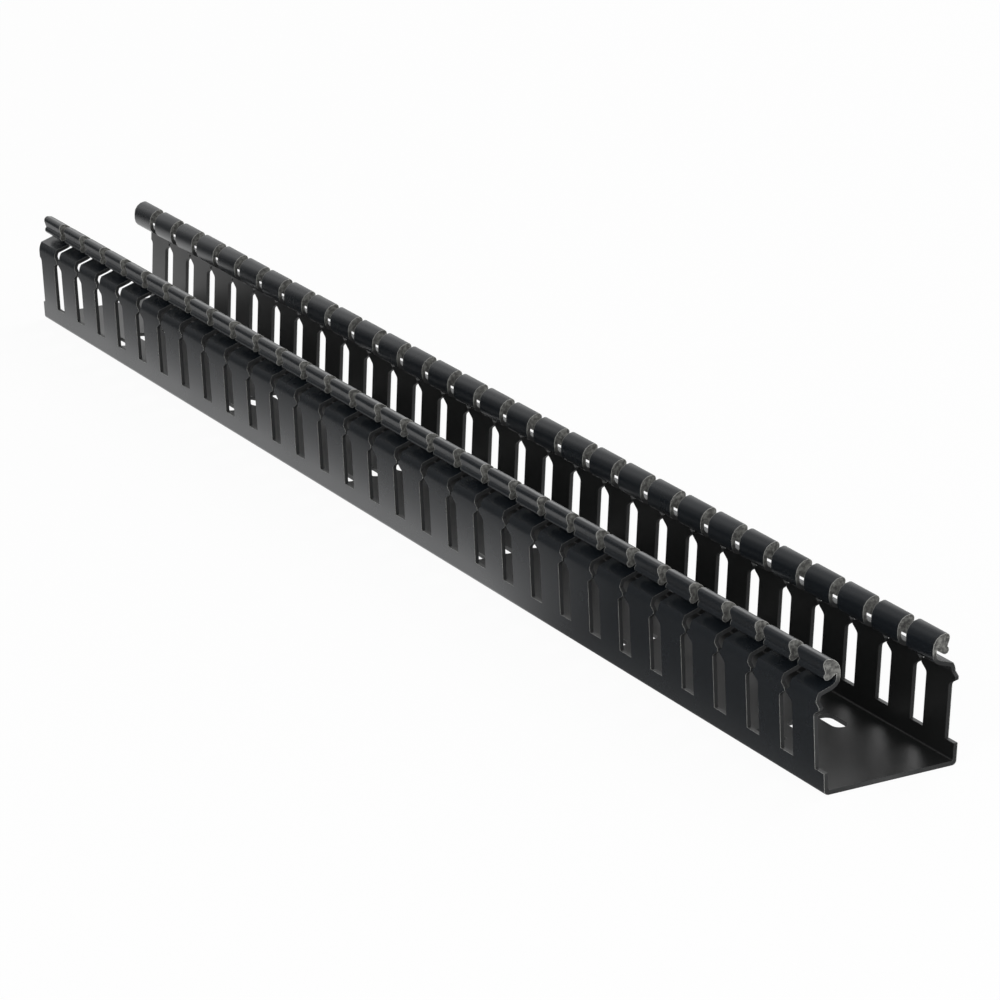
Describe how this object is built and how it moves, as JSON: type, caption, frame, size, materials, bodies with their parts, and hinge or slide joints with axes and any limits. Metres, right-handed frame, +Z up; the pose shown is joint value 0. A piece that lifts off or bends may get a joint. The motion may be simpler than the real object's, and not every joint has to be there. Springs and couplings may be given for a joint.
{
  "type": "slotted wire duct",
  "caption": "Open-topped slotted wiring duct of rigid PVC: wires lie in its channel, leave between its side fingers, and a cover snaps over its top beads.",
  "frame": {"origin": "on the underside, at the middle of the length and of the floor's width", "axes": "+X along the duct, +Y across it, +Z up out of the open mouth"},
  "size_m": [0.3746, 0.0338, 0.028],
  "materials": {
    "black_pvc": "satin black rigid PVC, extruded, with paler punched and sawn edges"
  },
  "bodies": {
    "root": {"duct_body": "black_pvc"}
  },
  "joints": []
}
